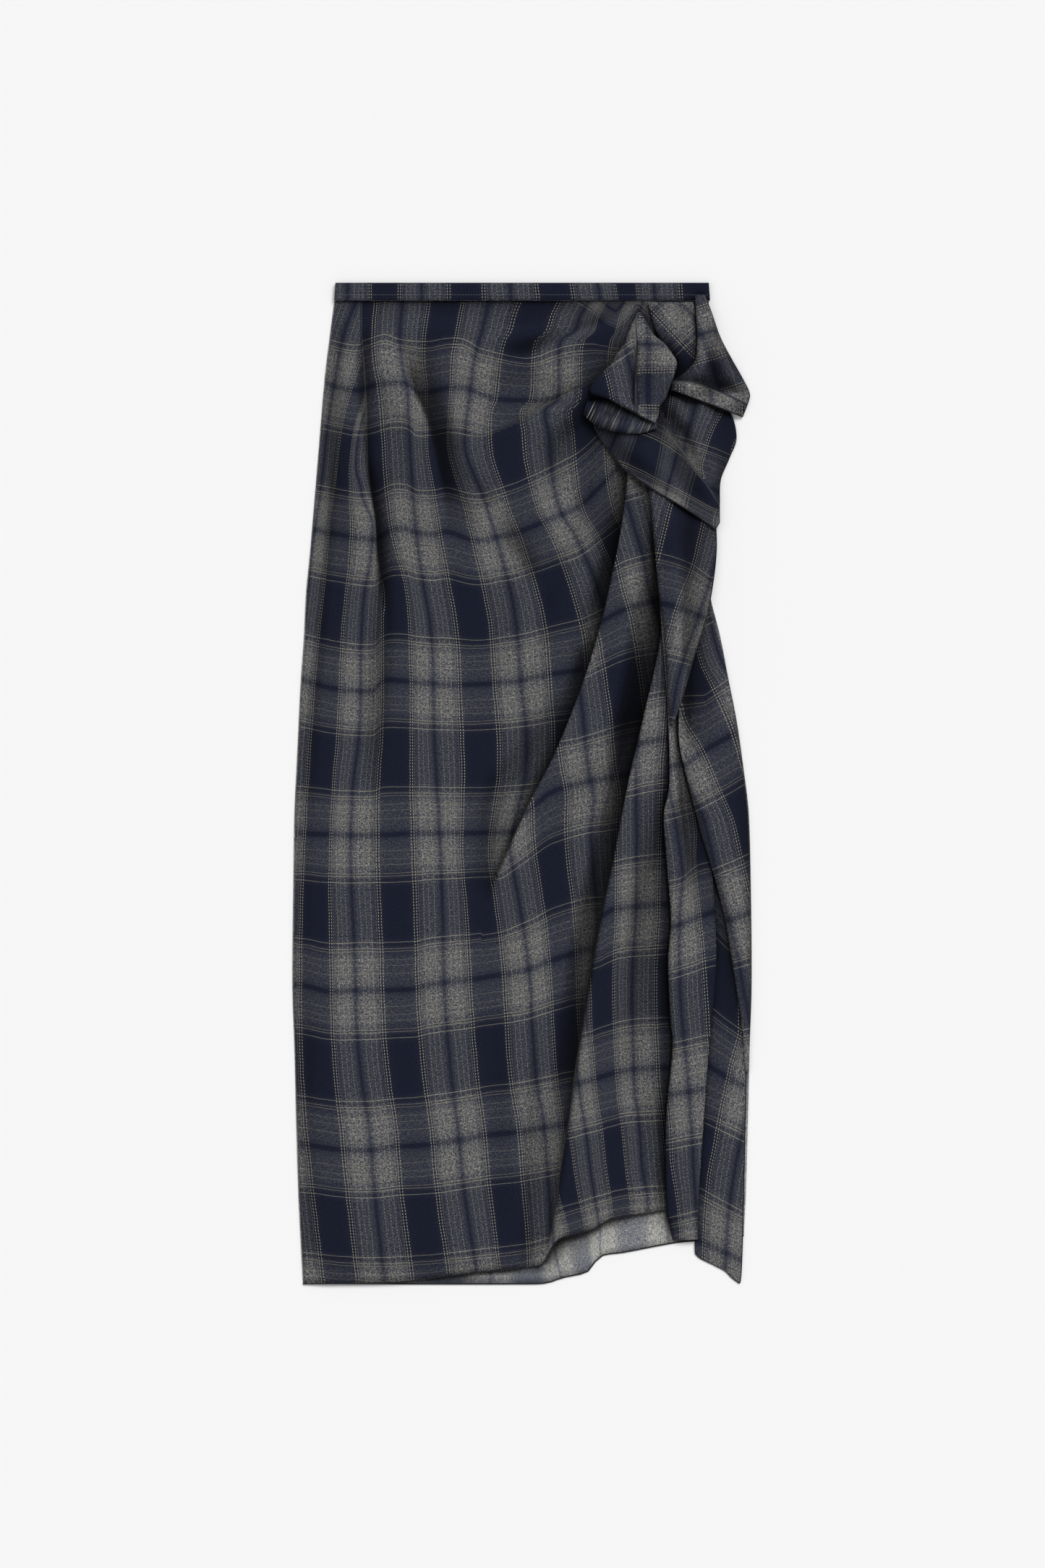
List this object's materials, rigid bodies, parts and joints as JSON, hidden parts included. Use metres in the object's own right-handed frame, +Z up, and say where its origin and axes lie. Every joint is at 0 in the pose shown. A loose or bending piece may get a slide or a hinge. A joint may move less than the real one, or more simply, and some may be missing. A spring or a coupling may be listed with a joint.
{
  "type": "wrap skirt",
  "caption": "Long draped wrap skirt in a plain shadow check, laid flat, with a straight waistband and a gathered flounce that falls from the right hip.",
  "frame": {"origin": "middle of the skirt's outline, on the surface that it lies on", "axes": "+X across the skirt to its draped side, +Y from hem to waistband, +Z up from the surface"},
  "size_m": [0.438, 0.9549, 0.0312],
  "materials": {
    "check_cloth": "matt woven check in navy and grey with ecru lines",
    "band_cloth": "matt woven check, folded",
    "flounce_cloth": "matt woven check"
  },
  "bodies": {
    "root": {"back_panel": "check_cloth", "under_wrap": "check_cloth", "over_wrap": "check_cloth", "edge_pleat": "check_cloth", "side_panel": "check_cloth", "waistband_front": "band_cloth", "waistband_back": "band_cloth", "flounce_tail": "flounce_cloth", "flounce_fall": "flounce_cloth", "flounce_roll": "flounce_cloth", "flounce_middle": "flounce_cloth", "flounce_right": "flounce_cloth", "flounce_left": "flounce_cloth"}
  },
  "joints": []
}
